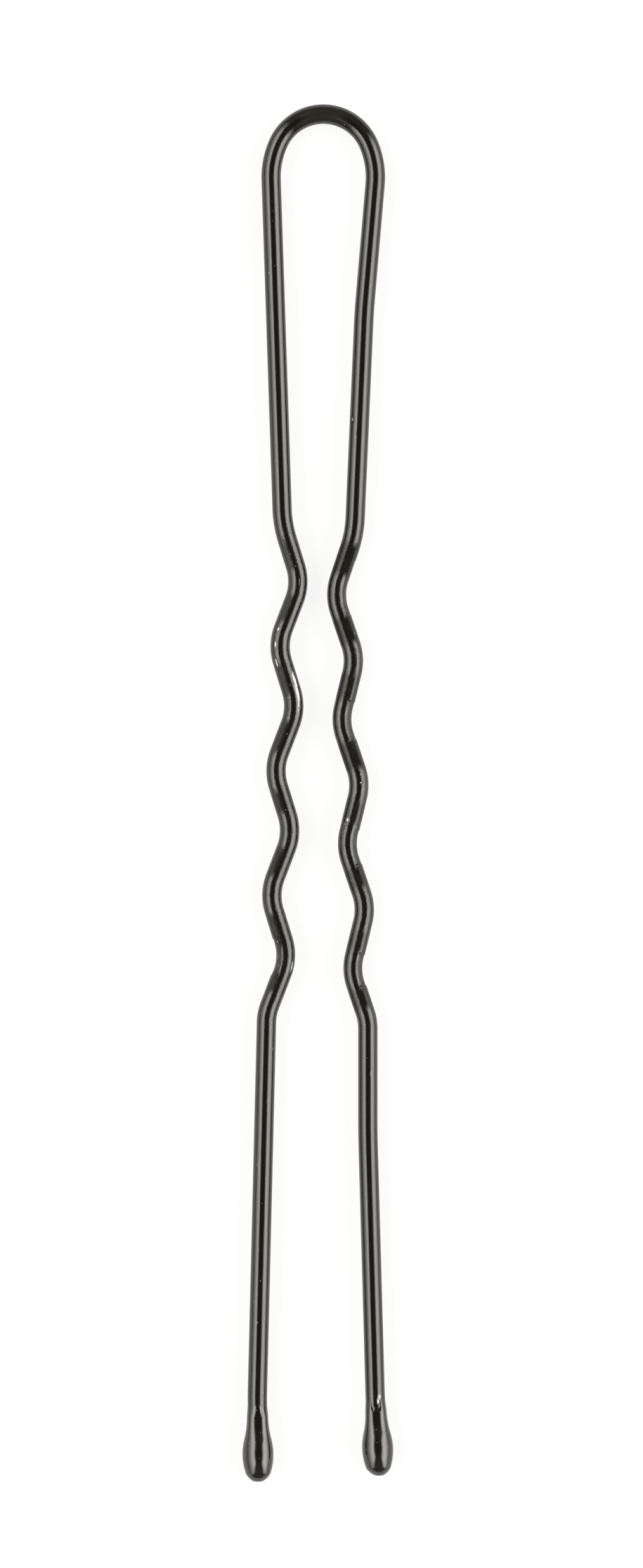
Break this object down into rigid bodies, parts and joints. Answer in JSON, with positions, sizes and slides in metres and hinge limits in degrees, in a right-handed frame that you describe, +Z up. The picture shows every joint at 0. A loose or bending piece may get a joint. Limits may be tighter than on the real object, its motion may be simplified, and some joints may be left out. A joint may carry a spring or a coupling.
{
  "type": "crimped hairpin",
  "caption": "U-shaped hairpin of black lacquered spring wire: a rounded bow, crimped legs that spring apart to take hair, and a smooth resin drop on each tip.",
  "frame": {"origin": "on the surface that the pin lies on, under the middle of its outline", "axes": "the pin lies flat; +Y along its length from the tips to the bow, +X from its left leg to its right leg, +Z up out of its plane"},
  "size_m": [0.0076, 0.07, 0.0016],
  "materials": {
    "spring_steel": "drawn wire, satin",
    "lacquer": "black gloss lacquer",
    "tip_resin": "black gloss resin"
  },
  "bodies": {
    "bow": {"bow_wire": "spring_steel", "bow_lacquer": "lacquer"},
    "left_leg": {"left_leg_wire": "spring_steel", "left_leg_lacquer": "lacquer", "left_tip": "tip_resin"},
    "right_leg": {"right_leg_wire": "spring_steel", "right_leg_lacquer": "lacquer", "right_tip": "tip_resin"}
  },
  "joints": [
    {"name": "left_leg_flex", "type": "hinge", "parent": "bow", "child": "left_leg", "pos_m": [-0.00215, 0.02466, 0.0008], "axis": [0, 0, -1], "range_deg": [-1.6, 8], "stiffness_Nm_per_rad": 0.2},
    {"name": "right_leg_flex", "type": "hinge", "parent": "bow", "child": "right_leg", "pos_m": [0.00236, 0.02446, 0.0008], "axis": [0, 0, 1], "range_deg": [-1.6, 8], "stiffness_Nm_per_rad": 0.2}
  ]
}
